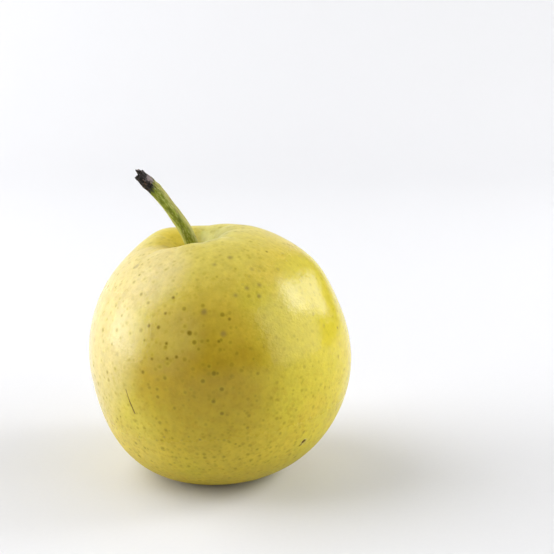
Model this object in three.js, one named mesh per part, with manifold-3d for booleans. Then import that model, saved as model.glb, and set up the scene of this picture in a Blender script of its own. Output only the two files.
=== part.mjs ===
// A round Asian pear as picked: a yellow fruit with a deep stem cavity and a shallow blossom
// basin, standing on a small flat spot, and the woody stem that leans out of it.
//
// Millimetres, +Z up. The origin is on the surface that the pear stands on, under the middle of
// the fruit. The stem leans towards -X, and the fruit's best side faces -Y.

import * as THREE from "three";
import { mergeVertices } from "three/addons/utils/BufferGeometryUtils.js";
import Module from "manifold-3d";

const wasm = await Module();
wasm.setup();

// The fruit's half section, measured from its own axis and from its widest girth.
const GIRTH_RADIUS = 38;
const CREST_RADIUS = 12.2; // of the crest around the stem cavity
const CREST_HEIGHT = 33.5;
const SHOULDER_FULLNESS = 0.5; // 0.55 is an ellipse, and more is squarer
const CAVITY_DEPTH = 9.5;
const CAVITY_FLOOR_RADIUS = 2.6;
const CAVITY_THROAT = 0.8; // how much wider the cavity is than its floor where the wall turns out
const CAVITY_LIP = 0.5; // share of the crest's radius where the wall starts to round over
const RIM_RADIUS = 10; // of the rim around the blossom basin
const RIM_DEPTH = 38.5;
const BASE_FULLNESS = 0.6;
const BASIN_DEPTH = 5;
const BASIN_FLOOR_RADIUS = 3;
const BASIN_THROAT = 0.6;
const BASIN_LIP = 0.62;
const SCAR_RADIUS = 1.5; // of the blossom scar, in the middle of the basin
const SCAR_HEIGHT = 0.7;
const WALL_TURN = 0.45; // share of the depth at which the cavity's and the basin's walls turn out

// How the fruit grew away from a true body of revolution.
const CREST_LEAN = 11.7; // degrees that the stem end leans towards -X
const BASE_LEAN = 2.3;
const LOBES = 5; // one for each seed chamber
const LOBE_HEIGHT = 0.3;
const LOBE_WIDTH = 6;
const LOBE_TURN = 20; // degrees
const LOBE_START = 0.4; // shares of the rim's depth between which the lobes rise to full height
const LOBE_FULL = 0.9;
// Places where the flesh is fuller, or thinner: the direction from the fruit's middle as azimuth
// from +X and elevation, the spread as an angle, all in degrees, and the height.
const SWELLS = [
  { azimuth: 145, elevation: 58, spread: 14, height: 2.3 },
  { azimuth: 237, elevation: 68, spread: 9, height: 0.9 },
  { azimuth: 0, elevation: 40, spread: 14, height: 1.2 },
  { azimuth: 0, elevation: -10, spread: 30, height: 2.4 },
  { azimuth: 205, elevation: -42, spread: 32, height: 0.3 },
];
const FLAT_DEPTH = 0.9; // how far up its base the fruit is pressed flat where it rests

// The stem, from its root in the flesh to its dry torn end.
const STEM_ROOT = [-5.6, 0.2, 59.5];
const STEM_STEPS = [
  // from the root towards the end
  [0, 0, 0],
  [-1.1, -0.2, 5],
  [-2.5, -0.5, 10.3],
  [-4.9, -1, 15.4],
  [-8.6, -2.1, 21.1],
  [-12.8, -3.6, 26.8],
  [-16.9, -5.2, 31.5],
];
const STEM_RADII = [
  // share of the length, and radius
  [0, 2],
  [0.18, 1.8],
  [0.4, 1.95],
  [0.6, 1.8],
  [0.8, 1.85],
  [0.92, 1.75],
  [1, 1.4],
];
const STEM_RIDGES = 3;
const STEM_RIDGE_HEIGHT = 0.12;
const STEM_TWIST = 0.07; // radians a millimetre, of the ridges around the stem
const TORN_LENGTH = 3; // of the dry end, where it is torn into teeth
const TORN_HEIGHT = 0.9;
const TORN_WAVES = [2, 3]; // counts around the end, which beat into uneven teeth
const TORN_HOLLOW = 1; // depth of the end's withered middle
const FIT_GAP = 0.3; // between the stem and the flesh around its root

const AROUND_FRUIT = 64;
const WALL_STEPS = 8;
const SIDE_STEPS = 16;
const AROUND_STEM = 20;
const ALONG_STEM = 30;

const degrees = THREE.MathUtils.degToRad;
const smoothstep = THREE.MathUtils.smoothstep;

// Points of a cubic curve in the half section, between four points given as [radius, height].
function sectionCurve(steps, ...points) {
  return new THREE.CubicBezierCurve(...points.map(([r, h]) => new THREE.Vector2(r, h))).getPoints(steps);
}

// The half section from the cavity's floor, over the crest, girth and rim, to the blossom scar.
function fruitSection() {
  const floor = CREST_HEIGHT - CAVITY_DEPTH;
  const basin = BASIN_DEPTH - RIM_DEPTH;
  const cavityWall = sectionCurve(
    WALL_STEPS,
    [CAVITY_FLOOR_RADIUS, floor],
    [CAVITY_FLOOR_RADIUS + CAVITY_THROAT, floor + WALL_TURN * CAVITY_DEPTH],
    [CAVITY_LIP * CREST_RADIUS, CREST_HEIGHT],
    [CREST_RADIUS, CREST_HEIGHT],
  );
  const shoulder = sectionCurve(
    SIDE_STEPS,
    [CREST_RADIUS, CREST_HEIGHT],
    [THREE.MathUtils.lerp(CREST_RADIUS, GIRTH_RADIUS, SHOULDER_FULLNESS), CREST_HEIGHT],
    [GIRTH_RADIUS, SHOULDER_FULLNESS * CREST_HEIGHT],
    [GIRTH_RADIUS, 0],
  );
  const base = sectionCurve(
    SIDE_STEPS,
    [GIRTH_RADIUS, 0],
    [GIRTH_RADIUS, -BASE_FULLNESS * RIM_DEPTH],
    [THREE.MathUtils.lerp(RIM_RADIUS, GIRTH_RADIUS, BASE_FULLNESS), -RIM_DEPTH],
    [RIM_RADIUS, -RIM_DEPTH],
  );
  const basinWall = sectionCurve(
    WALL_STEPS,
    [RIM_RADIUS, -RIM_DEPTH],
    [BASIN_LIP * RIM_RADIUS, -RIM_DEPTH],
    [BASIN_FLOOR_RADIUS + BASIN_THROAT, basin - WALL_TURN * BASIN_DEPTH],
    [BASIN_FLOOR_RADIUS, basin],
  );
  return [
    new THREE.Vector2(0, floor),
    ...cavityWall,
    ...shoulder.slice(1),
    ...base.slice(1),
    ...basinWall.slice(1),
    new THREE.Vector2(SCAR_RADIUS, basin),
    new THREE.Vector2(0, basin - SCAR_HEIGHT),
  ];
}

// The faint lobes around the crest and the rim.
function raiseLobes(point) {
  const radius = Math.hypot(point.x, point.y);
  const middle = point.z > 0 ? CREST_RADIUS : RIM_RADIUS;
  const near = Math.exp(-(((radius - middle) / LOBE_WIDTH) ** 2)) * Math.min(1, radius / middle);
  const end = smoothstep(Math.abs(point.z), LOBE_START * RIM_DEPTH, LOBE_FULL * RIM_DEPTH);
  const turn = Math.atan2(point.y, point.x) - degrees(LOBE_TURN);
  point.z += Math.sign(point.z) * LOBE_HEIGHT * near * end * Math.cos(LOBES * turn);
}

// The lean, which grows from the base to the stem end.
function lean(point) {
  const share = (point.z + RIM_DEPTH) / (CREST_HEIGHT + RIM_DEPTH);
  const angle = degrees(THREE.MathUtils.lerp(BASE_LEAN, CREST_LEAN, share));
  point.applyAxisAngle(new THREE.Vector3(0, 1, 0), -angle);
}

function swell(point) {
  const out = point.clone().normalize();
  for (const { azimuth, elevation, spread, height } of SWELLS) {
    const middle = new THREE.Vector3().setFromSphericalCoords(1, degrees(90 - elevation), degrees(azimuth));
    // three.js measures its spherical angles from +Y and +Z, which are +Z and +X here.
    const cosine = out.dot(new THREE.Vector3(middle.z, middle.x, middle.y));
    const share = Math.exp((cosine - 1) / (1 - Math.cos(degrees(spread))));
    point.addScaledVector(out, height * share);
  }
}

// Moves every vertex of a geometry by functions that change its point, one after another.
function reshape(geometry, ...changes) {
  const position = geometry.getAttribute("position");
  const point = new THREE.Vector3();
  for (let i = 0; i < position.count; i++) {
    point.fromBufferAttribute(position, i);
    for (const change of changes) change(point);
    position.setXYZ(i, point.x, point.y, point.z);
  }
}

function solidOf(geometry) {
  const bare = new THREE.BufferGeometry();
  bare.setAttribute("position", geometry.getAttribute("position"));
  bare.setIndex(geometry.getIndex());
  const merged = mergeVertices(bare, 1e-3);
  return new wasm.Manifold(
    new wasm.Mesh({
      numProp: 3,
      vertProperties: merged.getAttribute("position").array,
      triVerts: new Uint32Array(merged.getIndex().array),
    }),
  );
}

function geometryOf(solid) {
  const mesh = solid.getMesh();
  const geometry = new THREE.BufferGeometry();
  geometry.setAttribute("position", new THREE.BufferAttribute(mesh.vertProperties, 3));
  geometry.setIndex(new THREE.BufferAttribute(mesh.triVerts, 1));
  geometry.computeVertexNormals();
  return geometry;
}

// The whole fruit, centred over the origin and sunk by FLAT_DEPTH below the surface.
function grownFruit() {
  const geometry = new THREE.LatheGeometry(fruitSection().reverse(), AROUND_FRUIT);
  geometry.rotateX(Math.PI / 2);
  reshape(geometry, raiseLobes, lean, swell);
  geometry.computeBoundingBox();
  const { min, max } = geometry.boundingBox;
  geometry.translate(-(min.x + max.x) / 2, -(min.y + max.y) / 2, -min.z - FLAT_DEPTH);
  return geometry;
}

const stemPath = new THREE.CatmullRomCurve3(STEM_STEPS.map((step) => new THREE.Vector3(...step)));
const stemLength = stemPath.getLength();

// The stem's radius at a share of its length, with smooth passages between the listed ones.
function stemRadius(share) {
  const next = Math.max(1, STEM_RADII.findIndex(([at]) => at >= share));
  const [from, before] = STEM_RADII[next - 1];
  const [to, after] = STEM_RADII[next];
  return THREE.MathUtils.lerp(before, after, smoothstep(share, from, to));
}

// The straight stem's half section. A gap makes it thicker, and longer at the root.
function stemSection(gap) {
  const wall = [];
  for (let i = 0; i <= ALONG_STEM; i++) {
    const share = i / ALONG_STEM;
    wall.push(new THREE.Vector2(stemRadius(share) + gap, share * stemLength));
  }
  const root = new THREE.Vector2(wall[0].x, -gap);
  return [new THREE.Vector2(0, -gap), ...(gap ? [root] : []), ...wall, new THREE.Vector2(0, stemLength)];
}

function ridge(point) {
  const radius = Math.hypot(point.x, point.y);
  if (radius === 0) return;
  const turn = Math.atan2(point.y, point.x) + STEM_TWIST * point.z;
  const fuller = 1 + (STEM_RIDGE_HEIGHT * Math.cos(STEM_RIDGES * turn)) / radius;
  point.x *= fuller;
  point.y *= fuller;
}

// Tears the dry end into teeth around a withered middle.
function tear(point) {
  const dry = smoothstep(point.z, stemLength - TORN_LENGTH, stemLength);
  const radius = Math.hypot(point.x, point.y);
  const turn = Math.atan2(point.y, point.x);
  const [few, many] = TORN_WAVES;
  const tooth = TORN_HEIGHT * Math.sin(few * turn + 1) * Math.cos(many * turn);
  point.z += dry * (radius > 0 ? tooth : -TORN_HOLLOW);
}

// Lays the straight stem along its path.
function bend(point) {
  const share = THREE.MathUtils.clamp(point.z / stemLength, 0, 1);
  const beyond = point.z - share * stemLength;
  const tangent = stemPath.getTangentAt(share);
  const side = new THREE.Vector3(0, 1, 0).addScaledVector(tangent, -tangent.y).normalize();
  const front = new THREE.Vector3().crossVectors(side, tangent);
  const { x, y } = point;
  point.copy(stemPath.getPointAt(share));
  point.addScaledVector(front, x).addScaledVector(side, y).addScaledVector(tangent, beyond);
}

// The stem, or with a gap the tool that cuts its socket.
function stemGeometry(gap = 0) {
  const geometry = new THREE.LatheGeometry(stemSection(gap), AROUND_STEM);
  geometry.rotateX(Math.PI / 2);
  reshape(geometry, ridge, tear, bend);
  geometry.translate(...STEM_ROOT);
  return geometry;
}

// The fruit is cut flat where it rests, and its flesh leaves a socket for the stem's root.
function fruitGeometry() {
  const ground = new THREE.BoxGeometry(4 * GIRTH_RADIUS, 4 * GIRTH_RADIUS, GIRTH_RADIUS);
  ground.translate(0, 0, -GIRTH_RADIUS / 2);
  const standing = solidOf(grownFruit()).subtract(solidOf(ground));
  return geometryOf(standing.subtract(solidOf(stemGeometry(FIT_GAP))));
}

function named(name, geometry, material) {
  const mesh = new THREE.Mesh(geometry, material);
  mesh.name = name;
  return mesh;
}

const skin = new THREE.MeshStandardMaterial({ color: 0xd2bf52, roughness: 0.45, metalness: 0 });
const bark = new THREE.MeshStandardMaterial({ color: 0x7d8f3c, roughness: 0.75, metalness: 0 });

const pear = new THREE.Group();
pear.add(named("fruit", fruitGeometry(), skin));
pear.add(named("stem", stemGeometry(), bark));

export default pear;
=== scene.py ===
"""A round Asian pear as picked: the fruit with its fine skin, the woody stem and a small studio.

Metres, +Z up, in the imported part's own frame. The fruit and the stem repeat the part's shapes from
the same sizes, with a finer surface, and each stands for its solid.
"""

import math

import bmesh
import bpy
from mathutils import Matrix, Quaternion, Vector, geometry, noise


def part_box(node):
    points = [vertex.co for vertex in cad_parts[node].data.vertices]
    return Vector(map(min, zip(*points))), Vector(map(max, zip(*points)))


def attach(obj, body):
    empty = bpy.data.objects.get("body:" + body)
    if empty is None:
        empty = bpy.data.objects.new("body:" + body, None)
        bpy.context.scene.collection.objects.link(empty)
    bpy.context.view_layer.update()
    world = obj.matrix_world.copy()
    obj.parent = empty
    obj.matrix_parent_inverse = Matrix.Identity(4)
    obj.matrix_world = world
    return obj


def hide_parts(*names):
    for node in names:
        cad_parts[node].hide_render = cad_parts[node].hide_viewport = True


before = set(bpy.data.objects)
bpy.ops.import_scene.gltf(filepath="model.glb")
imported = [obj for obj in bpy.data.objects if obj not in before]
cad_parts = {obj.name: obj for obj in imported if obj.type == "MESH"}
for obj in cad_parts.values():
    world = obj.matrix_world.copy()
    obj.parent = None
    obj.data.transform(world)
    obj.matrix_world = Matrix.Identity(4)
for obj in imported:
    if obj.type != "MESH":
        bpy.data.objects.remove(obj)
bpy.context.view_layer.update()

bl_info = {
    "name": "Asian Pear",
    "version": (1, 0, 0),
    "blender": (4, 5, 0),
    "location": "View3D > Sidebar > Pear",
    "description": "Builds a round Asian pear with its stem, and a small studio for it",
    "category": "Add Mesh",
}

MM = 0.001
WELD = 1e-6  # metres within which two vertices become one
FRUIT_LOW, FRUIT_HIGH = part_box("fruit")
FRUIT_MIDDLE = Vector((0, 0, FRUIT_HIGH.z / 2))
GIRTH = FRUIT_HIGH.y  # about the fruit's radius, which turns a distance in direction into metres

# How the fruit grew away from a true body of revolution. Each swell is a direction from the
# fruit's own middle as azimuth from +X and elevation, then its spread, in degrees, and its height.
SWELLS = [
    (145, 58, 14, 2.3 * MM),
    (237, 68, 9, 0.9 * MM),
    (0, 40, 14, 1.2 * MM),
    (0, -10, 30, 2.4 * MM),
    (205, -42, 32, 0.3 * MM),
]
LOBES = 5
LOBE_HEIGHT = 0.3 * MM
LOBE_WIDTH = 6 * MM
LOBE_TURN = math.radians(20)
LOBE_START = 0.4  # shares of the rim's depth between which the lobes rise to full height
LOBE_FULL = 0.9
FURROW_FULL = 0.4  # shares of the crest's radius where furrows are full, begin to fade, and end
FURROW_FADE = 0.5
FURROW_END = 1.5
FURROW_WAVES = 2.6  # how finely the furrows divide the way around
FURROW_SEED = 4.2
PUCKERS = 10
PUCKER_TOP = 0.5  # share of the rim's depth, above which there are none
PUCKER_RADIUS = 5 * MM
PUCKER_WIDTH = 2.4 * MM
PUCKER_HEIGHT = 0.3 * MM
PUCKER_UNEVENNESS = 0.6
PUCKER_WAVES = 2
PUCKER_SEED = 1.7
FAINTEST_PUCKER = 1e-4  # share of their height, under which they aren't worked out

# The fruit's half section, where its curves leave and meet.
CAVITY_FLOOR_RADIUS = 2.6 * MM
CAVITY_THROAT = 0.8 * MM
CAVITY_LIP = 0.5
BASIN_FLOOR_RADIUS = 3 * MM
BASIN_THROAT = 0.6 * MM
BASIN_LIP = 0.62
WALL_TURN = 0.45
SCAR_RADIUS = 1.5 * MM
SCAR_HEIGHT = 0.7 * MM

# Sides of the fruit where the skin is of another colour, or paler as a painted sheen: how much, the
# direction that they face as azimuth and elevation in degrees, and the two cosines between which they fade
# in.
GREEN_SIDES = [(0.28, 345, 8, 0.3, 1), (0.4, 228, 2, 0.82, 1)]
# The pale sides are a painted sheen: paler skin on the left that stands in for the gloss of the soft
# lights there.
PAINTED_SHEEN_SIDES = [
    (0.9, 188, 12, 0.6, 0.85),
    (0.85, 214, 46, 0.87, 0.99),
    (0.25, 248, 22, 0.94, 1),
    (0.26, 222, -22, 0.9, 1),
]
# The amber side is painted shade: deeper amber in the middle of the front, where the light from both sides
# falls off.
PAINTED_SHADE_SIDE = (264, 4, 0.74, 0.97)
DOTTED_SIDE = (232, -2, 0.3, 0.9)

# Dots strewn over the skin and specks strewn along the bark: how far apart they are, their least
# and greatest radius, and how soft their edges are.
OPEN_DOTS = (2.5 * MM, 0.24 * MM, 0.64 * MM, 0.33 * MM)
DOT_HALOS = (2.5 * MM, 0.6 * MM, 1.1 * MM, 0.5 * MM)
FAINT_DOTS = (1.7 * MM, 0.2 * MM, 0.54 * MM, 0.32 * MM)
SUNK_DOTS = (7.5 * MM, 0.4 * MM, 1.0 * MM, 0.5 * MM)
BARK_SPECKS = (1.8 * MM, 0.2 * MM, 0.6 * MM, 0.25 * MM)

# Marks of this one fruit, by direction from its middle as azimuth and elevation in degrees, then
# their radius in millimetres: dots that have opened wide, and dots that lie sunk under the skin.
OPEN_MARKS = [
    (239, 25, 0.42), (244, 25, 0.46), (246, 31, 0.36), (248, 38, 0.4), (249, 19, 0.4), (259, 24, 0.62),
    (239, 6, 0.44), (243, 12, 0.34), (250, 13, 0.36), (254, 14, 0.4), (272, 21, 0.4), (277, 30, 0.36),
    (340, 16, 0.3), (317, 60, 0.34),
]
OPEN_MARK_EDGE = 0.34 * MM
SUNK_MARKS = [
    (265, 33, 0.75), (274, 24, 0.7), (288, 43, 0.55), (296, 44, 0.5), (281, 59, 0.6), (269, 55, 0.4),
    (281, 40, 0.4), (294, 39, 0.5),
]
SUNK_MARK_EDGE = 0.7 * MM

# The scratch, and the nick with its thin tail and the callus around it, as strokes between such
# directions, with their half widths and how soft their edges are.
SCRATCH = [((229.6, -3.5), (231, -8.5), 0.15 * MM), ((231, -8.5), (233, -13.5), 0.22 * MM)]
SCRATCH_EDGE = 0.12 * MM
NICK = [(316.8, -31.6), (317.2, -31.3)]
NICK_RADIUS = 0.6 * MM
NICK_EDGE = 0.25 * MM
NICK_DEPTH = 0.4 * MM
NICK_REACH = 3  # radii from it within which the skin is moved
NICK_MARGIN = 4  # radii from it within which the mesh of the skin is divided
NICK_CUTS = 4  # how often each edge of that mesh is divided
NICK_LIP = 0.2  # height of its raised edge, as a share of its depth
NICK_LIP_PLACE = 1.6  # radii from it to the top of that edge
NICK_LIP_SHARPNESS = 4
TAIL = [(315.1, -33), NICK[0]]
TAIL_RADIUS = 0.35 * MM
TAIL_EDGE = 0.3 * MM
CALLUS_WIDTH = 0.5 * MM
CALLUS_EDGE = 0.4 * MM

# How finely the fruit's mesh is divided, around it and along each part of its section.
FRUIT_AROUND = 320
CAVITY_ROWS = 34
SHOULDER_ROWS = 66
BASE_ROWS = 74
BASIN_ROWS = 26

# The stem, from its root in the flesh to its dry torn end.
STEM_ROOT = Vector((-5.6, 0.2, 59.5)) * MM
STEM_STEPS = [
    (0, 0, 0),
    (-1.1, -0.2, 5),
    (-2.5, -0.5, 10.3),
    (-4.9, -1, 15.4),
    (-8.6, -2.1, 21.1),
    (-12.8, -3.6, 26.8),
    (-16.9, -5.2, 31.5),
]
STEM_SMOOTHNESS = 24  # points of the stem's curve from each step to the next
# Radii in millimetres, at shares of the stem's length.
STEM_RADII = [(0, 2), (0.18, 1.8), (0.4, 1.95), (0.6, 1.8), (0.8, 1.85), (0.92, 1.75), (1, 1.55)]
STEM_RIDGES = 3
STEM_RIDGE_HEIGHT = 0.12 * MM
STEM_TWIST = 0.07 / MM  # radians a metre, of the ridges around the stem

# The bark's slow swells and quick wrinkles: their height, how finely they divide the way around,
# and their length along the stem.
BARK_SWELL_HEIGHT = 0.16 * MM
BARK_SWELL_WAVES = 2.5
BARK_SWELL_LENGTH = 4.5 * MM
WRINKLE_HEIGHT = 0.06 * MM
DRY_WRINKLE_HEIGHT = 0.3 * MM
WRINKLE_WAVES = 5
WRINKLE_LENGTH = 1.8 * MM
WRINKLE_SEED = 3
DRY_START = 0.76  # shares of the stem's length between which the wrinkles deepen
DRY_FULL = 0.86

# The torn end, whose rim rises and falls in two sets of waves.
TORN_LENGTH = 3 * MM
TORN_HEIGHT = 0.35 * MM
TORN_WAVES = (2, 3)
TORN_CORE = 0.8 * MM  # radius inside which the torn end is less rough
TORN_HOLLOW = 1 * MM
# How it folds in to its hollow, from its edge: shares of its radius, and of the hollow's depth.
TORN_FOLD = [(0.86, 0.02), (0.7, -0.25), (0.52, -0.6), (0.34, -0.8), (0.17, -0.92)]
# Splinters that stand out of it: the turn around the stem and the spread, in degrees, and the
# height, which is below 0 for a notch.
SPLINTERS = [
    (98, 12, 1.25 * MM),
    (68, 24, 0.7 * MM),
    (188, 16, 0.5 * MM),
    (325, 14, 0.3 * MM),
    (240, 12, -0.5 * MM),
]
STEM_AROUND = 96
STEM_ROWS = 200

# The sweep of the studio, in metres.
SWEEP_FRONT = -1.6
SWEEP_BACK = 0.5
SWEEP_LEFT = -1.6
SWEEP_RIGHT = 0.45
SWEEP_TOP = 2.0
SWEEP_BEND = 0.4
SWEEP_STEPS = 16

# Soft lights around the pear: their direction from it as azimuth and elevation in degrees, then
# their distance, width and height in metres, and their power in watts.
LEFT_LIGHTS = {
    "left_window": ((167, 19), 1.25, 1.6, 1.1, 9.0),
    "left_high": ((172, 50), 1.0, 0.9, 0.7, 6.6),
    "left_side": ((185, 8), 1.0, 0.8, 0.7, 8.6),
}
RIGHT_WALL = ((347, 20), 1.25, 1.25, 1.15, 13.0)

# The window on the right: the power of each of its strips from its bright side to its dim one, the
# direction of the first, and how far apart in azimuth and elevation they are.
WINDOW_STRIPS = (1.3, 0.98, 0.8, 0.72, 0.62)
WINDOW_AZIMUTH = 5.5
WINDOW_ELEVATION = 35.5
STRIP_AZIMUTH = 7.5
STRIP_ELEVATION = -4.9
STRIP_DISTANCE = 0.9
STRIP_WIDTH = 0.133
STRIP_HEIGHT = 0.33
STRIP_ROLL = -36

# The light that faces the foot of the backdrop: its place, width and length in metres, its tilt in
# degrees and its power in watts.
BACKDROP_LIGHT_PLACE = (0, 0.15, 1.3)
BACKDROP_LIGHT_WIDTH = 2
BACKDROP_LIGHT_LENGTH = 0.5
BACKDROP_LIGHT_TILT = 35
BACKDROP_LIGHT_POWER = 1.3

CAMERA_PLACE = Vector((16.9, -347.7, 149.9)) * MM
CAMERA_CLIP = 10 * MM


def length(name, description, default):
    return bpy.props.FloatProperty(
        name=name, description=description, default=default, min=0, unit="LENGTH", subtype="DISTANCE"
    )


def angle(name, description, degrees):
    return bpy.props.FloatProperty(
        name=name, description=description, default=math.radians(degrees), unit="ROTATION", subtype="ANGLE"
    )


def share(name, description, default):
    return bpy.props.FloatProperty(
        name=name, description=description, default=default, min=0, max=1, subtype="FACTOR"
    )


def colour(name, description, default):
    return bpy.props.FloatVectorProperty(
        name=name, description=description, default=default, size=3, min=0, max=1, subtype="COLOR"
    )


class FruitSizes(bpy.types.PropertyGroup):
    """The fruit's driving sizes, from its own axis and from its widest girth"""

    girth_radius: length("Girth radius", "Radius at the widest girth", 38 * MM)
    crest_radius: length("Crest radius", "Radius of the crest around the stem cavity", 12.2 * MM)
    crest_height: length("Crest height", "Height of the crest above the girth", 33.5 * MM)
    shoulder_fullness: share("Shoulder fullness", "0.55 is an ellipse, and more is squarer", 0.5)
    cavity_depth: length("Cavity depth", "Depth of the stem cavity below its crest", 9.5 * MM)
    rim_radius: length("Rim radius", "Radius of the rim around the blossom basin", 10 * MM)
    rim_depth: length("Rim depth", "Depth of that rim below the girth", 38.5 * MM)
    base_fullness: share("Base fullness", "0.55 is an ellipse, and more is squarer", 0.6)
    basin_depth: length("Basin depth", "Depth of the blossom basin", 5 * MM)
    crest_lean: angle("Crest lean", "How far the stem end leans towards -X", 11.7)
    base_lean: angle("Base lean", "How far the base leans towards -X", 2.3)
    flat_softness: length("Flat softness", "How softly the flat spot meets the base", 0.35 * MM)
    lump_height: length("Lump height", "Height of the gentle unevenness of the flesh", 0.1 * MM)
    lump_width: length("Lump width", "Width of the gentle unevenness of the flesh", 13 * MM)
    furrow_depth: length("Furrow depth", "Depth of the furrows that run into the cavity", 0.2 * MM)


class SkinColours(bpy.types.PropertyGroup):
    """The colours of the fruit's skin"""

    ripe: colour("Ripe", "Golden yellow of the ripe skin", (0.60, 0.44, 0.040))
    green: colour("Green", "Skin that is still green", (0.565, 0.475, 0.034))
    pale: colour("Pale", "Pale skin around the stem cavity", (0.59, 0.53, 0.125))
    # Painted sheen: this pale colour stands in for the gloss of the soft lights on the left cheek.
    painted_sheen: colour("Cheek", "The paler cheek, which grew in the shade", (0.605, 0.50, 0.205))
    # Painted shade: this deep yellow stands in for the shade and warm bounce inside the cavity beside the
    # stem.
    painted_cavity_shade: colour("Throat", "Deep yellow beside the stem, on one side of the cavity", (0.56, 0.42, 0.03))
    hollow: colour("Hollow", "Pale green on the other side of the cavity", (0.43, 0.42, 0.11))
    # Both a real tone and painted shade: the freckles use it, and the middle of the front is blended to it
    # as shade.
    amber_and_painted_shade: colour("Amber", "Deepest yellow of the ripest skin", (0.43, 0.282, 0.014))
    dots: colour("Dots", "Corky breathing dots", (0.185, 0.128, 0.003))
    faint_dots: colour("Faint dots", "Breathing dots that have hardly opened", (0.29, 0.218, 0.005))
    sunk_dots: colour("Sunk dots", "Wide dots that lie under the skin", (0.20, 0.145, 0.055))
    wound: colour("Wound", "Dried nick and scratch", (0.085, 0.034, 0.002))
    callus: colour("Callus", "Pale edge around a nick", (0.62, 0.50, 0.26))
    cork: colour("Cork", "Corky blossom scar", (0.24, 0.145, 0.055))


class StemColours(bpy.types.PropertyGroup):
    """The colours of the stem"""

    green: colour("Green", "Fresh green bark", (0.27, 0.32, 0.017))
    shade: colour("Shade", "Darker green of the bark's hollows", (0.135, 0.172, 0.009))
    # Painted highlight: this pale edge stands in for the left lights catching the stem's edge.
    rim: colour("Rim", "Pale yellow-green edge", (0.50, 0.48, 0.13))
    pale: colour("Pale", "Bleached bark", (0.38, 0.345, 0.10))
    fuzz: colour("Fuzz", "Fine pale down along the bark", (0.44, 0.47, 0.125))
    rust: colour("Rust", "Reddish specks on the bark", (0.30, 0.14, 0.06))
    dry: colour("Dry", "Black bark of the dry end", (0.004, 0.0035, 0.003))
    withered: colour("Withered", "Violet-brown of the withered wood", (0.03, 0.022, 0.022))
    ash: colour("Ash", "Grey weathered fibres of the dry end", (0.29, 0.235, 0.24))


class Studio(bpy.types.PropertyGroup):
    """The floor, the lights and the camera"""

    floor: colour("Floor", "Colour of the floor and the backdrop", (0.695, 0.70, 0.724))
    room: colour("Room colour", "Colour of the light of the whole room", (1, 0.93, 0.76))
    sky: bpy.props.FloatProperty(
        name="Room light", description="Strength of the light of the whole room", default=0.09, min=0
    )
    lens: bpy.props.FloatProperty(
        name="Lens", description="Focal length of the camera", default=78.8, min=1, unit="CAMERA"
    )
    tilt: angle("Tilt", "How far the camera looks down", 14.6)


# ---- shaping -----------------------------------------------------------------------------------


def smoothstep(value, low, high):
    part = min(1.0, max(0.0, (value - low) / (high - low)))
    return part * part * (3 - 2 * part)


def mix(low, high, part):
    return low + (high - low) * part


def toward(azimuth, elevation):
    """The unit vector of a direction given in degrees."""
    flat = math.cos(math.radians(elevation))
    return Vector(
        (
            flat * math.cos(math.radians(azimuth)),
            flat * math.sin(math.radians(azimuth)),
            math.sin(math.radians(elevation)),
        )
    )


def section_curve(rows, *points):
    """Points of a cubic curve in the half section, from four points given as (radius, height)."""
    return geometry.interpolate_bezier(*(Vector((r, 0, h)) for r, h in points), rows + 1)


def fruit_section(sizes):
    """The half section from the cavity's floor, over crest, girth and rim, to the blossom scar."""
    floor = sizes.crest_height - sizes.cavity_depth
    basin = sizes.basin_depth - sizes.rim_depth
    cavity_wall = section_curve(
        CAVITY_ROWS,
        (CAVITY_FLOOR_RADIUS, floor),
        (CAVITY_FLOOR_RADIUS + CAVITY_THROAT, floor + WALL_TURN * sizes.cavity_depth),
        (CAVITY_LIP * sizes.crest_radius, sizes.crest_height),
        (sizes.crest_radius, sizes.crest_height),
    )
    shoulder = section_curve(
        SHOULDER_ROWS,
        (sizes.crest_radius, sizes.crest_height),
        (mix(sizes.crest_radius, sizes.girth_radius, sizes.shoulder_fullness), sizes.crest_height),
        (sizes.girth_radius, sizes.shoulder_fullness * sizes.crest_height),
        (sizes.girth_radius, 0),
    )
    base = section_curve(
        BASE_ROWS,
        (sizes.girth_radius, 0),
        (sizes.girth_radius, -sizes.base_fullness * sizes.rim_depth),
        (mix(sizes.rim_radius, sizes.girth_radius, sizes.base_fullness), -sizes.rim_depth),
        (sizes.rim_radius, -sizes.rim_depth),
    )
    basin_wall = section_curve(
        BASIN_ROWS,
        (sizes.rim_radius, -sizes.rim_depth),
        (BASIN_LIP * sizes.rim_radius, -sizes.rim_depth),
        (BASIN_FLOOR_RADIUS + BASIN_THROAT, basin - WALL_TURN * sizes.basin_depth),
        (BASIN_FLOOR_RADIUS, basin),
    )
    return [
        Vector((0, 0, floor)),
        Vector((CAVITY_FLOOR_RADIUS / 2, 0, floor)),
        *cavity_wall,
        *shoulder[1:],
        *base[1:],
        *basin_wall[1:],
        Vector((SCAR_RADIUS, 0, basin)),
        Vector((SCAR_RADIUS / 2, 0, basin - SCAR_HEIGHT)),
        Vector((0, 0, basin - SCAR_HEIGHT / 2)),
    ]


def lathe(section, around):
    """A closed mesh turned around Z from a half section that starts and ends on the axis."""
    mesh = bmesh.new()
    verts = [mesh.verts.new(point) for point in section]
    edges = [mesh.edges.new(pair) for pair in zip(verts, verts[1:])]
    bmesh.ops.spin(
        mesh,
        geom=verts + edges,
        cent=(0, 0, 0),
        axis=(0, 0, 1),
        angle=2 * math.pi,
        steps=around,
        use_merge=True,
    )
    bmesh.ops.remove_doubles(mesh, verts=mesh.verts, dist=WELD)
    bmesh.ops.recalc_face_normals(mesh, faces=mesh.faces)
    return mesh


def keep_place(mesh, name):
    """Keeps where each vertex is now as an attribute, which materials read after it has moved."""
    layer = mesh.verts.layers.float_vector.new(name)
    for vert in mesh.verts:
        vert[layer] = vert.co


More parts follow.
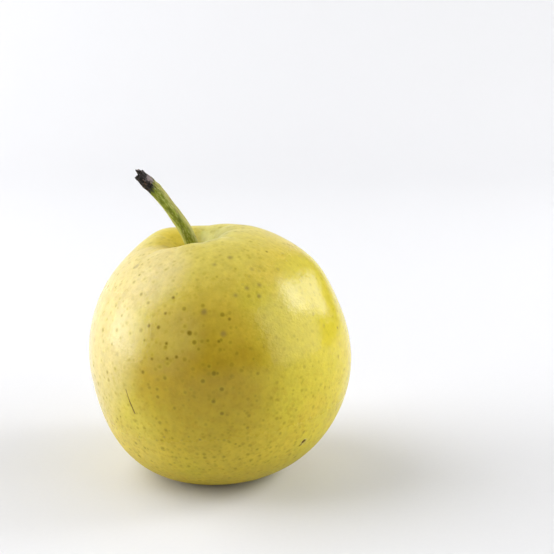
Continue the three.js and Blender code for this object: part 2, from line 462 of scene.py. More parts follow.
def raise_lobes(co, sizes):
    """The faint lobes around the crest and the rim."""
    radius = math.hypot(co.x, co.y)
    middle = sizes.crest_radius if co.z > 0 else sizes.rim_radius
    near = math.exp(-(((radius - middle) / LOBE_WIDTH) ** 2)) * min(1, radius / middle)
    end = smoothstep(abs(co.z), LOBE_START * sizes.rim_depth, LOBE_FULL * sizes.rim_depth)
    turn = math.atan2(co.y, co.x) - LOBE_TURN
    co.z += math.copysign(LOBE_HEIGHT * near * end * math.cos(LOBES * turn), co.z)


def furrow(co, sizes):
    """The fine furrows that run down the wall of the cavity."""
    radius = math.hypot(co.x, co.y)
    end = FURROW_END * sizes.crest_radius
    if co.z < 0 or radius > end or radius == 0:
        return
    wall = smoothstep(radius, 0, FURROW_FULL * sizes.crest_radius)
    wall *= 1 - smoothstep(radius, FURROW_FADE * sizes.crest_radius, end)
    around = Vector((FURROW_WAVES * co.x / radius, FURROW_WAVES * co.y / radius, FURROW_SEED))
    co.z -= sizes.furrow_depth * wall * abs(noise.noise(around))


def pucker(co, sizes):
    """The small folds of skin that draw in around the blossom scar."""
    radius = math.hypot(co.x, co.y)
    near = math.exp(-(((radius - PUCKER_RADIUS) / PUCKER_WIDTH) ** 2))
    if co.z < -PUCKER_TOP * sizes.rim_depth and near > FAINTEST_PUCKER:
        turn = math.atan2(co.y, co.x)
        around = Vector((PUCKER_WAVES * math.cos(turn), PUCKER_WAVES * math.sin(turn), PUCKER_SEED))
        uneven = 1 + PUCKER_UNEVENNESS * noise.noise(around)
        co.z += PUCKER_HEIGHT * near * uneven * (1 - 2 * abs(math.cos(PUCKERS / 2 * turn)))


def lean(co, sizes):
    """The lean, which grows from the base to the stem end."""
    part = (co.z + sizes.rim_depth) / (sizes.crest_height + sizes.rim_depth)
    co.rotate(Matrix.Rotation(-mix(sizes.base_lean, sizes.crest_lean, part), 3, "Y"))


def swell(co, swells):
    """The swells, each of which pushes the skin out around its own direction."""
    out = co.normalized()
    for middle, tightness, height in swells:
        co += out * (height * math.exp((out.dot(middle) - 1) / tightness))


def lump(co, sizes):
    """The gentle unevenness of the flesh."""
    co += co.normalized() * (sizes.lump_height * noise.noise(co / sizes.lump_width))


def press_flat(co, softness):
    """Presses whatever is below the surface flat against it, with a soft edge."""
    if co.z < -softness:
        co.z = 0
    elif co.z < softness:
        co.z = (co.z + softness) ** 2 / (4 * softness)


def place_fruit(mesh):
    """Moves the grown fruit to where the part's fruit is, with its top at the same height."""
    low = Vector(min(vert.co[axis] for vert in mesh.verts) for axis in range(3))
    high = Vector(max(vert.co[axis] for vert in mesh.verts) for axis in range(3))
    middle = (FRUIT_LOW + FRUIT_HIGH) / 2
    shift = middle - (low + high) / 2
    shift.z = FRUIT_HIGH.z - high.z
    bmesh.ops.translate(mesh, vec=shift, verts=mesh.verts)


def off_nick(point):
    """How far a point of the skin is from the middle line of the nick."""
    start, end = (toward(*direction) for direction in NICK)
    out = (point - FRUIT_MIDDLE).normalized()
    part = geometry.intersect_point_line(out, start, end)[1]
    return (out - start.lerp(end, min(max(part, 0), 1))).length * GIRTH


def nick_profile(off):
    """The nick's section, from its own radii and in its own depths: a pit with a raised edge."""
    lip = NICK_LIP * math.exp(-((off - NICK_LIP_PLACE) ** 2) * NICK_LIP_SHARPNESS)
    return lip - math.exp(-off * off)


def cut_nick(mesh):
    """Divides the skin around the nick more finely, and sinks the nick into it."""
    margin = NICK_MARGIN * NICK_RADIUS
    near = [face for face in mesh.faces if off_nick(face.calc_center_median()) < margin]
    edges = dict.fromkeys(edge for face in near for edge in face.edges)
    bmesh.ops.subdivide_edges(
        mesh, edges=list(edges), cuts=NICK_CUTS, use_grid_fill=True, use_single_edge=True, smooth=1
    )
    for vert in mesh.verts:
        off = off_nick(vert.co) / NICK_RADIUS
        if off < NICK_REACH:
            vert.co += vert.normal * NICK_DEPTH * nick_profile(off)


def fruit_mesh(sizes):
    mesh = lathe(fruit_section(sizes), FRUIT_AROUND)
    keep_place(mesh, "grown")
    swells = [
        (toward(azimuth, elevation), 1 - math.cos(math.radians(spread)), height)
        for azimuth, elevation, spread, height in SWELLS
    ]
    for vert in mesh.verts:
        raise_lobes(vert.co, sizes)
        furrow(vert.co, sizes)
        pucker(vert.co, sizes)
        lean(vert.co, sizes)
        swell(vert.co, swells)
        lump(vert.co, sizes)
    place_fruit(mesh)
    for vert in mesh.verts:
        press_flat(vert.co, sizes.flat_softness)
    mesh.normal_update()
    cut_nick(mesh)
    return mesh


def spline(points, steps):
    """Points along a smooth curve through the given ones."""
    curve = []
    ends = [2 * points[0] - points[1], *points, 2 * points[-1] - points[-2]]
    for before, start, end, after in zip(ends, ends[1:], ends[2:], ends[3:]):
        curve += geometry.interpolate_bezier(
            start, start + (end - before) / 6, end - (after - start) / 6, end, steps + 1
        )[:-1]
    return [*curve, points[-1]]


class StemPath:
    """The stem's bent middle line, measured along its length."""

    def __init__(self):
        self.points = spline([STEM_ROOT + Vector(step) * MM for step in STEM_STEPS], STEM_SMOOTHNESS)
        self.reach = [0.0]
        for before, after in zip(self.points, self.points[1:]):
            self.reach.append(self.reach[-1] + (after - before).length)
        self.length = self.reach[-1]

    def frame_at(self, along):
        """The point at a length from the root, and the directions to the front, side and tip."""
        index = 1
        while index < len(self.points) - 1 and self.reach[index] < along:
            index += 1
        start, end = self.points[index - 1], self.points[index]
        part = (along - self.reach[index - 1]) / (self.reach[index] - self.reach[index - 1])
        after = self.points[min(index + 1, len(self.points) - 1)]
        before = self.points[max(index - 2, 0)]
        tip = (end - before).normalized().lerp((after - start).normalized(), part).normalized()
        side = (Vector((0, 1, 0)) - tip * tip.y).normalized()
        return start.lerp(end, part), side.cross(tip), side, tip


def stem_radius(part):
    """The stem's radius at a share of its length, with smooth passages between the listed ones."""
    for (start, before), (end, after) in zip(STEM_RADII, STEM_RADII[1:]):
        if part <= end:
            return MM * mix(before, after, smoothstep(part, start, end))
    return MM * STEM_RADII[-1][1]


def stem_section(reach):
    """The straight stem's half section, with its torn end folding in to a withered middle."""
    wall = [
        Vector((stem_radius(row / STEM_ROWS), 0, reach * row / STEM_ROWS)) for row in range(STEM_ROWS + 1)
    ]
    end = wall[-1].x
    folded = [Vector((radius * end, 0, reach + drop * TORN_HOLLOW)) for radius, drop in TORN_FOLD]
    return [Vector((0, 0, 0)), *wall, *folded, Vector((0, 0, reach - TORN_HOLLOW))]


def ridge(co, reach):
    """The stem's three ridges, the bark's slow swells, and wrinkles that deepen at the dry end."""
    radius = math.hypot(co.x, co.y)
    if radius == 0:
        return
    turn = math.atan2(co.y, co.x) + STEM_TWIST * co.z
    around = Vector((math.cos(turn), math.sin(turn), 0))
    dry = smoothstep(co.z, DRY_START * reach, DRY_FULL * reach)
    swells = BARK_SWELL_WAVES * around + Vector((0, 0, co.z / BARK_SWELL_LENGTH))
    wrinkles = WRINKLE_WAVES * around + Vector((WRINKLE_SEED, 0, co.z / WRINKLE_LENGTH))
    rise = STEM_RIDGE_HEIGHT * math.cos(STEM_RIDGES * turn)
    rise += BARK_SWELL_HEIGHT * noise.noise(swells)
    rise += mix(WRINKLE_HEIGHT, DRY_WRINKLE_HEIGHT, dry) * noise.noise(wrinkles)
    scale = 1 + rise / max(radius, MM)
    co.x *= scale
    co.y *= scale


def tear(co, reach):
    """Tears the dry end into teeth and splinters."""
    dry = smoothstep(co.z, reach - TORN_LENGTH, reach)
    rim = smoothstep(math.hypot(co.x, co.y), 0, TORN_CORE)
    turn = math.atan2(co.y, co.x)
    few, many = TORN_WAVES
    tooth = TORN_HEIGHT * math.sin(few * turn + 1) * math.cos(many * turn)
    for middle, spread, height in SPLINTERS:
        off = math.remainder(turn - math.radians(middle), 2 * math.pi) / math.radians(spread)
        tooth += height * math.exp(-off * off)
    co.z += dry * rim * tooth


def bend(co, path):
    """Lays the straight stem along its path."""
    along = min(max(co.z, 0), path.length)
    middle, front, side, tip = path.frame_at(along)
    co.xyz = middle + front * co.x + side * co.y + tip * (co.z - along)


def stem_mesh():
    path = StemPath()
    mesh = lathe(stem_section(path.length), STEM_AROUND)
    keep_place(mesh, "straight")
    for vert in mesh.verts:
        ridge(vert.co, path.length)
        tear(vert.co, path.length)
        bend(vert.co, path)
    return mesh


def finished(name, mesh, material):
    """The finished piece: a smooth object at the origin with one material."""
    data = bpy.data.meshes.new(name)
    mesh.to_mesh(data)
    mesh.free()
    data.shade_smooth()
    data.materials.append(material)
    piece = bpy.data.objects.new(name, data)
    bpy.context.scene.collection.objects.link(piece)
    return piece


# ---- materials ---------------------------------------------------------------------------------


class Value:
    """What varies over a surface, as a node's output: sums on a number add their Math nodes."""

    def __init__(self, recipe, socket):
        self.recipe = recipe
        self.socket = socket

    def __add__(self, other):
        return self.recipe.math("ADD", self, other)

    def __sub__(self, other):
        return self.recipe.math("SUBTRACT", self, other)

    def __rsub__(self, other):
        return self.recipe.math("SUBTRACT", other, self)

    def __mul__(self, other):
        return self.recipe.math("MULTIPLY", self, other)

    __radd__ = __add__
    __rmul__ = __mul__


def socket_named(sockets, name):
    """The socket with that identifier, or else the one in use with that name."""
    for socket in sockets:
        if socket.identifier == name:
            return socket
    return next(socket for socket in sockets if socket.enabled and socket.name == name)


class Recipe:
    """The nodes of one material, which end in its Principled shader."""

    def __init__(self, name):
        self.material = bpy.data.materials.new(name)
        self.material.use_nodes = True
        self.tree = self.material.node_tree
        self.shader = self.tree.nodes["Principled BSDF"]

    def put(self, socket, value):
        """Links a value that varies to a socket, or sets the socket to a constant."""
        if isinstance(value, Value):
            self.tree.links.new(value.socket, socket)
        elif socket.type == "RGBA":
            socket.default_value = (*value, 1)
        else:
            socket.default_value = value

    def node(self, kind, settings, sockets, *results):
        """Adds a node: first its settings, then its sockets' values or links."""
        node = self.tree.nodes.new("ShaderNode" + kind)
        for name, value in settings.items():
            setattr(node, name, value)
        for name, value in sockets.items():
            self.put(socket_named(node.inputs, name), value)
        values = [Value(self, socket_named(node.outputs, name)) for name in results]
        return values if len(values) > 1 else values[0]

    def finish(self, **sockets):
        """Sets the shader's own sockets, named with _ for a space."""
        for name, value in sockets.items():
            self.put(socket_named(self.shader.inputs, name.replace("_", " ")), value)
        return self.material

    def math(self, operation, first, second):
        return self.node("Math", {"operation": operation}, {"Value": first, "Value_001": second}, "Value")

    def vector(self, operation, result, **sockets):
        names = {"first": "Vector", "second": "Vector_001", "scale": "Scale"}
        named = {names[key]: value for key, value in sockets.items()}
        return self.node("VectorMath", {"operation": operation}, named, result)

    def place(self):
        return self.node("TexCoord", {}, {}, "Object")

    def attribute(self, name):
        return self.node("Attribute", {"attribute_name": name}, {}, "Vector")

    def moved(self, vector, location=(0, 0, 0), scale=(1, 1, 1)):
        return self.node("Mapping", {}, {"Vector": vector, "Location": location, "Scale": scale}, "Vector")

    def part(self, vector, axis):
        return self.node("SeparateXYZ", {}, {"Vector": vector}, axis)

    def step(self, value, low, high):
        """0 where the value is below low, 1 where it is above high, smooth between them."""
        sockets = {"Value": value, "From Min": low, "From Max": high}
        return self.node("MapRange", {"interpolation_type": "SMOOTHSTEP"}, sockets, "Result")

    def noise(self, vector, width, detail=2.0, roughness=0.5):
        """Cloudy noise from 0 to 1, with features about a width across."""
        sockets = {"Vector": vector, "Scale": 1 / width, "Detail": detail, "Roughness": roughness}
        return self.node("TexNoise", {}, sockets, "Fac")

    def blend(self, factor, below, above):
        """A colour painted over another where the factor is 1."""
        sockets = {"Factor_Float": factor, "A_Color": below, "B_Color": above}
        return self.node("Mix", {"data_type": "RGBA"}, sockets, "Result_Color")

    def tinted(self, colour, amount):
        """A colour made brighter or darker by an amount about 1."""
        return self.vector("SCALE", "Vector", first=colour, scale=amount)

    def bump(self, height, depth, normal=None):
        sockets = {"Strength": 1.0, "Distance": depth, "Height": height}
        if normal:
            sockets["Normal"] = normal
        return self.node("Bump", {}, sockets, "Normal")

    def cells(self, vector, spacing):
        """Random points: the distance to the nearest one, and two chances from 0 to 1 of its own."""
        sockets = {"Vector": vector, "Scale": 1 / spacing}
        settings = {"voronoi_dimensions": "3D", "feature": "F1"}
        distance, tint = self.node("TexVoronoi", settings, sockets, "Distance", "Color")
        return distance * spacing, self.part(tint, "X"), self.part(tint, "Y")

    def specks(self, vector, spacing, smallest, largest, soft, faintest=0.3):
        """Round specks at random, as a mask, of several sizes and strengths, in metres."""
        distance, chance, strength = self.cells(vector, spacing)
        radius = smallest + (largest - smallest) * chance
        return (1 - self.step(distance - radius, -soft, soft)) * (faintest + (1 - faintest) * strength)

    def either(self, first, second):
        return self.math("MAXIMUM", first, second)


class SkinRecipe(Recipe):
    """The recipe of the fruit's skin, which knows where on the fruit it is."""

    def __init__(self, name):
        super().__init__(name)
        self.here = self.place()
        self.grown = self.attribute("grown")
        self.height = self.part(self.grown, "Z")
        self.level = self.vector("MULTIPLY", "Vector", first=self.grown, second=(1, 1, 0))
        self.from_axis = self.vector("LENGTH", "Value", first=self.level)
        run = self.vector("SUBTRACT", "Vector", first=self.here, second=FRUIT_MIDDLE)
        self.outward = self.vector("NORMALIZE", "Vector", first=run)
        self.mouth = self.step(self.height, 5 * MM, 31 * MM) * self.within(12 * MM, 46 * MM)
        self.low = self.below(-16 * MM, 8 * MM)
        self.mottle = self.noise(self.here, 2.6 * MM, 3, 0.65)

    def below(self, low, high):
        """A mask of the base: 1 below the first height and 0 above the second, from the girth."""
        return 1 - self.step(self.height, low, high)

    def within(self, near, far):
        """A mask of the skin around the fruit's own axis: 1 nearer than near and 0 past far."""
        return 1 - self.step(self.from_axis, near, far)

    def facing(self, azimuth, elevation, low, high):
        """A mask of the side that faces a direction, between two cosines."""
        turned = self.vector("DOT_PRODUCT", "Value", first=self.outward, second=toward(azimuth, elevation))
        return self.step(turned, low, high)

    def spot(self, azimuth, elevation, radius, soft):
        """A round spot in one direction from the fruit's middle, as a mask."""
        away = self.vector("DISTANCE", "Value", first=self.outward, second=toward(azimuth, elevation))
        return 1 - self.step(away * GIRTH, radius - soft, radius + soft)

    def stroke(self, start, end, radius, soft):
        """A thin stroke between two directions from the fruit's middle, as a mask."""
        start, end = toward(*start), toward(*end)
        reach = (end - start).length
        heading = (end - start) / reach
        run = self.vector("SUBTRACT", "Vector", first=self.outward, second=start)
        along = self.vector("DOT_PRODUCT", "Value", first=run, second=heading)
        near = self.math("MINIMUM", self.math("MAXIMUM", along, 0), reach)
        nearest = self.vector("SCALE", "Vector", first=heading, scale=near)
        away = self.vector("DISTANCE", "Value", first=run, second=nearest)
        return 1 - self.step(away * GIRTH, radius - soft, radius + soft)


def ground_colour(skin, tones):
    """Golden where it is ripe and green in broad patches, with deeper amber in the middle as painted shade
    and a paler cheek as painted sheen.
    """
    green = skin.noise(skin.moved(skin.here, (0.03, 0.02, 0.01)), 26 * MM, 3)
    for amount, *side in GREEN_SIDES:
        green += amount * skin.facing(*side)
    colour = skin.blend(skin.step(green, 0.48, 0.72), tones.ripe, tones.green)
    # Painted shade: patches of deeper amber on the middle of the front, where the light from both sides
    # falls off.
    painted_shade_patches = skin.step(skin.noise(skin.moved(skin.here, (0.2, 0.1, 0)), 22 * MM), 0.2, 0.55)
    colour = skin.blend(painted_shade_patches * skin.facing(*PAINTED_SHADE_SIDE) * 0.9, colour, tones.amber_and_painted_shade)
    colour = skin.blend(skin.mouth * 0.75, colour, tones.pale)
    # Painted sheen: the left cheek turns paler where the soft lights on the left gleam on it.
    painted_sheen = 0.0
    for amount, *side in PAINTED_SHEEN_SIDES:
        painted_sheen = skin.either(painted_sheen, amount * skin.facing(*side))
    return skin.blend(painted_sheen, colour, tones.painted_sheen)


def ends_colour(skin, tones, colour):
    """Painted shade as deep yellow on one side of the stem cavity, pale green on the other, and a greener
    base whose foot is darkened by painted shade.
    """
    # Painted shade: deep yellow on the -X side of the stem cavity, and pale green on its +X side.
    cavity = skin.step(skin.height, 20 * MM, 24 * MM) * skin.within(8 * MM, 15 * MM)
    side = skin.step(skin.part(skin.grown, "X"), -3 * MM, 3 * MM)
    colour = skin.blend(cavity * 0.75, colour, skin.blend(side, tones.painted_cavity_shade, tones.hollow))
    colour = skin.blend(skin.low * 0.4, colour, tones.green)
    # Painted shade: the foot of the fruit is darkened where shade falls next to the floor.
    return skin.tinted(colour, 1 - 0.14 * skin.below(-31 * MM, -22 * MM))


def mottled(skin, tones, colour):
    """Fine mottling, streaks that follow the fruit from stem to blossom, and amber freckles."""
    streaks = skin.noise(skin.moved(skin.here, scale=(1, 1, 0.22)), 1.6 * MM)
    colour = skin.tinted(colour, 0.72 + 0.46 * skin.mottle + 0.14 * streaks)
    freckles = skin.noise(skin.moved(skin.here, (0, 0, 0.1)), 1.5 * MM, 2, 0.6)
    freckles = skin.step(freckles, 0.5, 0.66) * (0.12 + 0.28 * skin.low)
    return skin.blend(freckles, colour, tones.amber_and_painted_shade)


def open_dots(skin, patchy):
    """A mask of the corky breathing dots that have opened, at random and at this fruit's marks."""
    opened = skin.specks(skin.here, *OPEN_DOTS) * patchy
    for azimuth, elevation, radius in OPEN_MARKS:
        opened = skin.either(opened, skin.spot(azimuth, elevation, radius * MM, OPEN_MARK_EDGE))
    return opened


def sunk_dots(skin):
    """A mask of the wide dots that lie under the skin of the shoulder."""
    sunk = skin.specks(skin.moved(skin.here, (0, 0.1, 0)), *SUNK_DOTS) * (1 - skin.low) * 0.55
    for azimuth, elevation, radius in SUNK_MARKS:
        sunk = skin.either(sunk, skin.spot(azimuth, elevation, radius * MM, SUNK_MARK_EDGE) * 0.62)
    return sunk


def dotted(skin, tones, colour, patchy, opened):
    """Open dots with a green halo, sunk ones, and faint small ones that are strongest low down."""
    halo = skin.specks(skin.here, *DOT_HALOS) * patchy
    faint = skin.specks(skin.moved(skin.here, (0.1, 0, 0)), *FAINT_DOTS)
    colour = skin.blend(halo * 0.3, colour, tones.green)
    colour = skin.blend(sunk_dots(skin), colour, tones.sunk_dots)
    colour = skin.blend(faint * (0.34 + 0.32 * skin.low), colour, tones.faint_dots)
    return skin.blend(opened * 0.85, colour, tones.dots)


def wound_marks(skin):
    """A mask of the thin scratch on the left and of the dried nick, with its tail, on the right."""
    scratch = 0.0
    for start, end, radius in SCRATCH:
        scratch = skin.either(scratch, skin.stroke(start, end, radius, SCRATCH_EDGE))
    tail = skin.stroke(*TAIL, TAIL_RADIUS, TAIL_EDGE)
    nick = skin.stroke(*NICK, NICK_RADIUS, NICK_EDGE)
    return skin.either(skin.either(scratch * 0.85, tail * 0.8), nick)


def wounded(skin, tones, colour, wounds):
    """The scratch and the nick, with a pale callus around the nick."""
    callus = skin.stroke(*NICK, NICK_RADIUS + CALLUS_WIDTH, CALLUS_EDGE)
    return skin.blend(wounds, skin.blend(callus * 0.3, colour, tones.callus), tones.wound)


def scarred(skin, tones, colour):
    """The corky blossom scar, with a ragged edge along its spokes and a dried-up middle."""
    spokes = skin.noise(skin.vector("NORMALIZE", "Vector", first=skin.level), 0.3, 3, 0.6)
    grain = skin.noise(skin.grown, 0.7 * MM, 3, 0.6)
    ragged = skin.from_axis + (spokes - 0.5) * 5 * MM + (grain - 0.5) * 1.6 * MM
    bottom = skin.below(-26 * MM, -20 * MM)
    russet = (1 - skin.step(ragged, 3.5 * MM, 7 * MM)) * bottom
    cork = (1 - skin.step(ragged, 2.8 * MM, 4.4 * MM)) * bottom
    withered = (1 - skin.step(ragged, 0.6 * MM, 1.8 * MM)) * bottom
    colour = skin.blend(russet * 0.35, colour, tones.cork)
    colour = skin.blend(cork * 0.8, colour, skin.tinted(tones.cork, 0.4 + 1.3 * grain))
    return skin.blend(withered * 0.8, colour, tones.wound), cork, grain


def pitted(skin, opened, cork, grain):
    """Wide dimples under fine pits, as on orange peel, with raised dots and rough cork."""
    normal = skin.bump(skin.noise(skin.here, 2.4 * MM), 0.06 * MM)
    normal = skin.bump(skin.noise(skin.here, 0.75 * MM), 0.08 * MM, normal)
    normal = skin.bump(opened, 0.02 * MM, normal)
    return skin.bump(cork * grain, 0.25 * MM, normal)


def skin_material(tones):
    skin = SkinRecipe("pear_skin")
    patchy = 0.5 + 0.5 * skin.facing(*DOTTED_SIDE)
    opened = open_dots(skin, patchy)
    wounds = wound_marks(skin)
    colour = ground_colour(skin, tones)
    colour = ends_colour(skin, tones, colour)
    colour = mottled(skin, tones, colour)
    colour = dotted(skin, tones, colour, patchy, opened)
    colour = wounded(skin, tones, colour, wounds)
    colour, cork, grain = scarred(skin, tones, colour)

    # Glossy above the girth and matt towards the base, around the stem and where it is corky.
    matt = skin.below(-30 * MM, -8 * MM)
    rough = 0.1 + 0.4 * matt + 0.1 * skin.mottle + 0.1 * opened
    rough += 0.25 * skin.mouth + 0.4 * wounds + 0.3 * cork
    return skin.finish(
        Base_Color=colour,
        Roughness=rough,
        Normal=pitted(skin, opened, cork, grain),
        Subsurface_Weight=0.2,
        Subsurface_Radius=(1.0, 0.65, 0.15),
        Subsurface_Scale=2.5 * MM,
        IOR=1.3,
        Coat_Weight=0.12 * (1 - skin.mouth) * (1 - 0.8 * skin.low) * (1 - wounds) * (1 - opened),
        Coat_Roughness=0.14,
        Coat_IOR=1.5,
    )


class BarkRecipe(Recipe):
    """The recipe of the stem's bark, which follows the stem as it grew, before it bent."""

    def __init__(self, name):
        super().__init__(name)
        self.straight = self.attribute("straight")
        self.along = self.part(self.straight, "Z")
        self.across = self.part(self.straight, "X")
        self.down = self.noise(self.moved(self.straight, scale=(1, 1, 0.22)), 0.36 * MM, 3, 0.7)
        self.cloud = self.noise(self.moved(self.straight, scale=(1, 1, 0.5)), 1.6 * MM, 3)


def green_bark(bark, tones):
    """Green bark under fine pale down, bleached along the side that lay in the sun, with a painted
    highlight as a pale edge along the other side.
    """
    colour = bark.blend(bark.step(bark.cloud, 0.35, 0.65), tones.shade, tones.green)
    colour = bark.blend(bark.step(bark.down, 0.5, 0.62) * 0.75, colour, tones.fuzz)
    # Painted highlight: a pale edge along the stem's -X side, where the light from the left catches it.
    edge = bark.across + (bark.cloud - 0.5) * 0.8 * MM
    colour = bark.blend(bark.step(edge, -1.05 * MM, -1.8 * MM) * 0.8, colour, tones.rim)
    sunny = bark.across + (bark.cloud - 0.5) * 1.6 * MM + (bark.down - 0.5) * 1.4 * MM
    pale = bark.step(sunny, 0.5 * MM, 1.9 * MM)
    colour = bark.blend(pale * 0.8, colour, tones.pale)
    specks = bark.specks(bark.straight, *BARK_SPECKS)
    return bark.blend(specks * (0.15 + 0.6 * pale), colour, tones.rust)


def dry_bark(bark, tones):
    """Black bark over violet-brown wood, with grey fibres and a few crumbs of rust."""
    withered = bark.noise(bark.moved(bark.straight, scale=(1, 1, 0.5)), 0.6 * MM, 3)
    colour = bark.blend(bark.step(withered, 0.49, 0.58), tones.dry, tones.withered)
    flakes = bark.noise(bark.moved(bark.straight, (3, 1, 2), scale=(1, 1, 0.6)), 1.3 * MM, 3, 0.6)
    flakes = bark.step(flakes + bark.across * 70, 0.57, 0.66)
    colour = bark.blend(flakes * 0.85, colour, tones.ash)
    crumbs = bark.noise(bark.moved(bark.straight, (1, 4, 2)), 0.55 * MM)
    return bark.blend(bark.step(crumbs, 0.6, 0.68) * 0.4, colour, tones.rust)


def stem_material(tones):
    bark = BarkRecipe("pear_stem_bark")

    # The dry end has a ragged edge, which reaches further down on the shaded side.
    ragged = bark.along + (bark.cloud - 0.5) * 3.5 * MM - bark.across * 0.9 + (bark.down - 0.5) * 8 * MM
    dry = bark.step(ragged, 30.2 * MM, 32 * MM)

    fibres = bark.noise(bark.moved(bark.straight, scale=(1, 1, 0.06)), 0.3 * MM)
    normal = bark.bump(fibres, 0.15 * MM)
    return bark.finish(
        Base_Color=bark.blend(dry, green_bark(bark, tones), dry_bark(bark, tones)),
        Roughness=0.6 + 0.25 * bark.down,
        Normal=bark.bump(bark.down, 0.12 * MM, normal),
        IOR=1.4,
        Sheen_Weight=0.12,
        Sheen_Roughness=0.5,
        Sheen_Tint=(0.85, 0.85, 0.5),
    )


def floor_material(tone):
    paper = Recipe("studio_paper")
    grain = paper.noise(paper.place(), 1.2 * MM)
    return paper.finish(Base_Color=paper.tinted(tone, 0.985 + 0.03 * grain), Roughness=0.65)



# ---- studio ------------------------------------------------------------------------------------


def backdrop(tone):
    """A pale sweep: a floor that curves up into a wall behind the pear."""
    mesh = bmesh.new()
    start = mesh.verts.new((SWEEP_LEFT, SWEEP_FRONT, 0))
    turn = mesh.verts.new((SWEEP_LEFT, SWEEP_BACK, 0))
    mesh.edges.new((start, turn))
    swept = bmesh.ops.spin(
        mesh,
        geom=[turn],
        cent=(SWEEP_LEFT, SWEEP_BACK, SWEEP_BEND),
        axis=(1, 0, 0),
        angle=math.pi / 2,
        steps=SWEEP_STEPS,
        use_merge=False,
    )
    wall = mesh.verts.new((SWEEP_LEFT, SWEEP_BACK + SWEEP_BEND, SWEEP_TOP))
    mesh.edges.new((swept["geom_last"][0], wall))
    bmesh.ops.remove_doubles(mesh, verts=mesh.verts, dist=WELD)
    wide = bmesh.ops.extrude_edge_only(mesh, edges=mesh.edges[:])
    moved = [item for item in wide["geom"] if isinstance(item, bmesh.types.BMVert)]
    bmesh.ops.translate(mesh, vec=(SWEEP_RIGHT - SWEEP_LEFT, 0, 0), verts=moved)
    bmesh.ops.recalc_face_normals(mesh, faces=mesh.faces)
    finished("studio_sweep", mesh, floor_material(tone))


def area_light(name, width, height, power):
    data = bpy.data.lights.new(name, "AREA")
    data.shape = "RECTANGLE"
    data.size = width
    data.size_y = height
    data.energy = power
    light = bpy.data.objects.new(name, data)
    bpy.context.scene.collection.objects.link(light)
    return light


def soft_box(name, direction, distance, width, height, power, roll=0):
    """A soft light that faces the pear from a direction, turned by roll in its own plane."""
    light = area_light(name, width, height, power)
    out = toward(*direction)
    light.location = FRUIT_MIDDLE + out * distance
    turned = Quaternion((0, 0, 1), math.radians(roll))
    light.rotation_euler = (out.to_track_quat("Z", "Y") @ turned).to_euler()


def window():
    """The window on the right, whose strips give a patch of gloss that fades to one side."""
    for strip, power in enumerate(WINDOW_STRIPS):
        direction = (WINDOW_AZIMUTH + STRIP_AZIMUTH * strip, WINDOW_ELEVATION + STRIP_ELEVATION * strip)
        name = f"right_window_{strip}"
        soft_box(name, direction, STRIP_DISTANCE, STRIP_WIDTH, STRIP_HEIGHT, power, STRIP_ROLL)


def backdrop_light():
    """A wide light high above the pear that faces the foot of the backdrop."""
    light = area_light(
        "backdrop_light", BACKDROP_LIGHT_WIDTH, BACKDROP_LIGHT_LENGTH, BACKDROP_LIGHT_POWER
    )
    light.location = BACKDROP_LIGHT_PLACE
    light.rotation_euler = (math.radians(BACKDROP_LIGHT_TILT), 0, 0)


def room_light(strength, tone):
    world = bpy.data.worlds.new("studio_room")
    world.use_nodes = True
    background = world.node_tree.nodes["Background"]
    background.inputs["Strength"].default_value = strength
    background.inputs["Color"].default_value = (*tone, 1)
    bpy.context.scene.world = world


def camera(lens, tilt):
    data = bpy.data.cameras.new("studio_camera")
    data.lens = lens
    data.clip_start = CAMERA_CLIP
    eye = bpy.data.objects.new("studio_camera", data)
    eye.location = CAMERA_PLACE
    eye.rotation_euler = (math.pi / 2 - tilt, 0, 0)
    bpy.context.scene.collection.objects.link(eye)
    bpy.context.scene.camera = eye


# ---- the add-on --------------------------------------------------------------------------------




class PEAR_OT_stage(bpy.types.Operator):
    """Set up the floor, the soft lights and the camera"""

    bl_idname = "pear.stage"
    bl_label = "Studio"

    def execute(self, context):
        studio = context.scene.pear_studio
        backdrop(studio.floor)
        for name, light in LEFT_LIGHTS.items():
            soft_box(name, *light)
        window()
        soft_box("right_wall", *RIGHT_WALL)
        backdrop_light()
        room_light(studio.sky, studio.room)
        camera(studio.lens, studio.tilt)
        context.scene.view_settings.view_transform = "Standard"
        return {"FINISHED"}


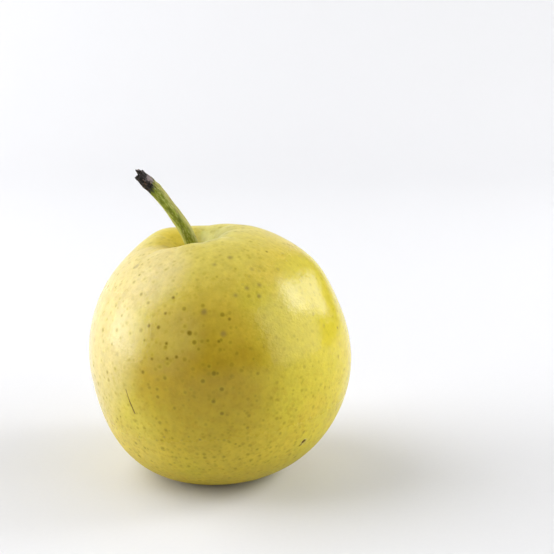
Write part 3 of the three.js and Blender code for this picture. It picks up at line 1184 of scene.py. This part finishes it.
class PEAR_OT_fruit(bpy.types.Operator):
    """Build the fruit, with its cavity, basin, flat spot and skin"""

    bl_idname = "pear.fruit"
    bl_label = "Fruit"

    def execute(self, context):
        mesh = fruit_mesh(context.scene.pear_fruit)
        fruit = finished("pear_fruit", mesh, skin_material(context.scene.pear_skin))
        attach(fruit, "root")
        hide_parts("fruit")
        return {"FINISHED"}


class PEAR_OT_stem(bpy.types.Operator):
    """Build the stem, from its root in the cavity to its dry torn end"""

    bl_idname = "pear.stem"
    bl_label = "Stem"

    def execute(self, context):
        stem = finished("pear_stem", stem_mesh(), stem_material(context.scene.pear_bark))
        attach(stem, "root")
        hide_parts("stem")
        return {"FINISHED"}


class PEAR_PT_sidebar(bpy.types.Panel):
    """Lists the pear's pieces, with the sizes and colours that shape them"""

    bl_idname = "PEAR_PT_sidebar"
    bl_label = "Pear"
    bl_space_type = "VIEW_3D"
    bl_region_type = "UI"
    bl_category = "Pear"

    def draw(self, context):
        for operator, groups in PIECES.items():
            box = self.layout.box()
            box.operator(operator)
            for group in groups:
                values = getattr(context.scene, group)
                for name in values.__annotations__:
                    box.prop(values, name)


PIECES = {
    PEAR_OT_stage.bl_idname: ["pear_studio"],
    PEAR_OT_fruit.bl_idname: ["pear_fruit", "pear_skin"],
    PEAR_OT_stem.bl_idname: ["pear_bark"],
}
GROUPS = {
    "pear_fruit": FruitSizes,
    "pear_skin": SkinColours,
    "pear_bark": StemColours,
    "pear_studio": Studio,
}
CLASSES = [*GROUPS.values(), PEAR_OT_stage, PEAR_OT_fruit, PEAR_OT_stem, PEAR_PT_sidebar]


def register():
    for item in CLASSES:
        bpy.utils.register_class(item)
    for name, group in GROUPS.items():
        setattr(bpy.types.Scene, name, bpy.props.PointerProperty(type=group))


def unregister():
    for name in GROUPS:
        delattr(bpy.types.Scene, name)
    for item in reversed(CLASSES):
        bpy.utils.unregister_class(item)


def main():
    register()
    bpy.ops.pear.stage()
    bpy.ops.pear.fruit()
    bpy.ops.pear.stem()


if __name__ == "__main__":
    main()
